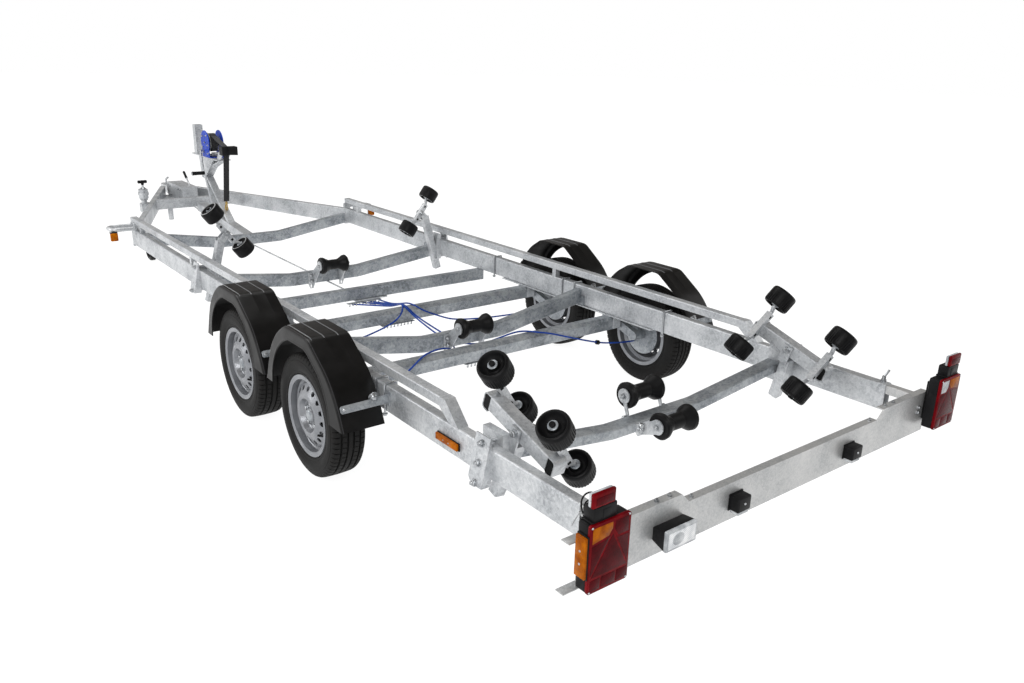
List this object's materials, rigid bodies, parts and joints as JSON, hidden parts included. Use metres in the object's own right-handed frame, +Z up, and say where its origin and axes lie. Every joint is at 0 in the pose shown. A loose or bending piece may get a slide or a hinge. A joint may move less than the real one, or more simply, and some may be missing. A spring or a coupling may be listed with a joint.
{
  "type": "boat trailer",
  "caption": "Galvanised tandem-axle boat trailer with V drawbar, braked torsion axles, keel and side rollers, winch post and sliding light board.",
  "frame": {"origin": "on the ground, at the middle of the width and of the length", "axes": "+X right, +Y forward to the coupling, +Z up"},
  "size_m": [2.412, 7.9239, 1.215],
  "materials": {
    "galvanised_steel": "hot-dip galvanised",
    "zinc_steel": "zinc plated",
    "silver_paint": "silver paint",
    "blue_paint": "gloss",
    "tyre_rubber": "matt",
    "roller_rubber": "satin",
    "black_plastic": "satin",
    "blue_plastic": "satin",
    "winch_webbing": "woven",
    "red_lens": "clear gloss",
    "amber_lens": "clear gloss"
  },
  "bodies": {
    "chassis": {"axle_front": "galvanised_steel", "axle_plates": "galvanised_steel", "axle_rear": "galvanised_steel", "bow_stop": "black_plastic", "brake_cables": "blue_plastic", "brake_rod": "galvanised_steel", "coupling_gaiter": "black_plastic", "coupling_head": "galvanised_steel", "crossmember_axle": "galvanised_steel", "crossmember_front": "galvanised_steel", "crossmember_keel_front": "galvanised_steel", "crossmember_keel_middle": "galvanised_steel", "crossmember_keel_rear": "galvanised_steel", "drawbar_arm_left": "galvanised_steel", "drawbar_arm_right": "galvanised_steel", "drawbar_spine": "galvanised_steel", "jockey_outer": "galvanised_steel", "keel_brackets": "galvanised_steel", "marker_lamps": "amber_lens", "mudguard_stays": "galvanised_steel", "mudguards_left": "black_plastic", "mudguards_right": "black_plastic", "overrun_housing": "galvanised_steel", "rail_left": "galvanised_steel", "rail_right": "galvanised_steel", "roller_posts": "galvanised_steel", "strap_hook": "zinc_steel", "winch_frame": "blue_paint", "winch_post": "galvanised_steel", "winch_strap": "winch_webbing"},
    "wheel_front_left": {"tyre_front_left": "tyre_rubber", "rim_front_left": "silver_paint"},
    "wheel_rear_left": {"tyre_rear_left": "tyre_rubber", "rim_rear_left": "silver_paint"},
    "front_rocker_left": {"roller_rocker_left": "galvanised_steel"},
    "front_pair_left": {"side_rollers_front_left": "roller_rubber"},
    "rear_beam_left": {"roller_beam_left": "galvanised_steel"},
    "rear_pair_a_left": {"side_rollers_rear_a_left": "roller_rubber"},
    "rear_pair_b_left": {"side_rollers_rear_b_left": "roller_rubber"},
    "wheel_front_right": {"tyre_front_right": "tyre_rubber", "rim_front_right": "silver_paint"},
    "wheel_rear_right": {"tyre_rear_right": "tyre_rubber", "rim_rear_right": "silver_paint"},
    "front_rocker_right": {"roller_rocker_right": "galvanised_steel"},
    "front_pair_right": {"side_rollers_front_right": "roller_rubber"},
    "rear_beam_right": {"roller_beam_right": "galvanised_steel"},
    "rear_pair_a_right": {"side_rollers_rear_a_right": "roller_rubber"},
    "rear_pair_b_right": {"side_rollers_rear_b_right": "roller_rubber"},
    "keel_front": {"keel_roller_front": "roller_rubber"},
    "keel_middle": {"keel_roller_middle": "roller_rubber"},
    "keel_rear_a": {"keel_roller_rear_a": "roller_rubber"},
    "keel_rear_b": {"keel_roller_rear_b": "roller_rubber"},
    "winch_drum": {"winch_drum": "winch_webbing"},
    "winch_crank": {"winch_crank": "zinc_steel"},
    "jockey_fork": {"jockey_fork": "galvanised_steel"},
    "jockey_wheel": {"jockey_wheel": "roller_rubber"},
    "light_board": {"light_board": "galvanised_steel", "tail_lamps": "red_lens", "board_lamps": "black_plastic"}
  },
  "joints": [
    {"name": "wheel_front_left_spin", "type": "hinge", "parent": "chassis", "child": "wheel_front_left", "pos_m": [-1.094, -1.266, 0.298], "axis": [1, 0, 0], "continuous": true},
    {"name": "wheel_rear_left_spin", "type": "hinge", "parent": "chassis", "child": "wheel_rear_left", "pos_m": [-1.094, -2.106, 0.298], "axis": [1, 0, 0], "continuous": true},
    {"name": "front_rocker_left_tilt", "type": "hinge", "parent": "chassis", "child": "front_rocker_left", "pos_m": [-0.74926, -0.012, 0.74368], "axis": [0, 1, 0], "range_deg": [-12, 12]},
    {"name": "front_pair_left_spin", "type": "hinge", "parent": "front_rocker_left", "child": "front_pair_left", "pos_m": [-0.73329, -0.012, 0.75572], "axis": [-0.6018, 0, 0.7986], "continuous": true},
    {"name": "rear_beam_left_rock", "type": "hinge", "parent": "chassis", "child": "rear_beam_left", "pos_m": [-0.832, -3.283, 0.583], "axis": [1, 0, 0], "range_deg": [-12, 12]},
    {"name": "rear_pair_a_left_spin", "type": "hinge", "parent": "rear_beam_left", "child": "rear_pair_a_left", "pos_m": [-0.77929, -3.12028, 0.67763], "axis": [-0.6018, -0.2468, 0.7595], "continuous": true},
    {"name": "rear_pair_b_left_spin", "type": "hinge", "parent": "rear_beam_left", "child": "rear_pair_b_left", "pos_m": [-0.77929, -3.47027, 0.56392], "axis": [-0.6018, -0.2468, 0.7595], "continuous": true},
    {"name": "wheel_front_right_spin", "type": "hinge", "parent": "chassis", "child": "wheel_front_right", "pos_m": [1.094, -1.266, 0.298], "axis": [1, 0, 0], "continuous": true},
    {"name": "wheel_rear_right_spin", "type": "hinge", "parent": "chassis", "child": "wheel_rear_right", "pos_m": [1.094, -2.106, 0.298], "axis": [1, 0, 0], "continuous": true},
    {"name": "front_rocker_right_tilt", "type": "hinge", "parent": "chassis", "child": "front_rocker_right", "pos_m": [0.74926, -0.012, 0.74368], "axis": [0, 1, 0], "range_deg": [-12, 12]},
    {"name": "front_pair_right_spin", "type": "hinge", "parent": "front_rocker_right", "child": "front_pair_right", "pos_m": [0.73329, -0.012, 0.75572], "axis": [0.6018, 0, 0.7986], "continuous": true},
    {"name": "rear_beam_right_rock", "type": "hinge", "parent": "chassis", "child": "rear_beam_right", "pos_m": [0.832, -3.283, 0.583], "axis": [1, 0, 0], "range_deg": [-12, 12]},
    {"name": "rear_pair_a_right_spin", "type": "hinge", "parent": "rear_beam_right", "child": "rear_pair_a_right", "pos_m": [0.77929, -3.12028, 0.67763], "axis": [0.6018, -0.2468, 0.7595], "continuous": true},
    {"name": "rear_pair_b_right_spin", "type": "hinge", "parent": "rear_beam_right", "child": "rear_pair_b_right", "pos_m": [0.77929, -3.47027, 0.56392], "axis": [0.6018, -0.2468, 0.7595], "continuous": true},
    {"name": "keel_front_spin", "type": "hinge", "parent": "chassis", "child": "keel_front", "pos_m": [0, -0.031, 0.44], "axis": [1, 0, 0], "continuous": true},
    {"name": "keel_middle_spin", "type": "hinge", "parent": "chassis", "child": "keel_middle", "pos_m": [0, -1.79, 0.444], "axis": [1, 0, 0], "continuous": true},
    {"name": "keel_rear_a_spin", "type": "hinge", "parent": "chassis", "child": "keel_rear_a", "pos_m": [0, -3.089, 0.486], "axis": [1, 0, 0], "continuous": true},
    {"name": "keel_rear_b_spin", "type": "hinge", "parent": "chassis", "child": "keel_rear_b", "pos_m": [0, -3.296, 0.412], "axis": [1, 0, 0], "continuous": true},
    {"name": "winch_drum_turn", "type": "hinge", "parent": "chassis", "child": "winch_drum", "pos_m": [0, 2.324, 1.088], "axis": [1, 0, 0], "continuous": true},
    {"name": "winch_crank_turn", "type": "hinge", "parent": "chassis", "child": "winch_crank", "pos_m": [0, 2.364, 1.014], "axis": [1, 0, 0], "continuous": true},
    {"name": "jockey_swivel", "type": "hinge", "parent": "chassis", "child": "jockey_fork", "pos_m": [-0.54641, 2.694, 0.4], "axis": [0, 0, 1], "continuous": true},
    {"name": "jockey_wheel_spin", "type": "hinge", "parent": "jockey_fork", "child": "jockey_wheel", "pos_m": [-0.54641, 2.649, 0.1], "axis": [1, 0, 0], "continuous": true},
    {"name": "light_board_slide", "type": "slide", "parent": "chassis", "child": "light_board", "axis": [0, -1, 0], "range_m": [0, 0.3]}
  ]
}
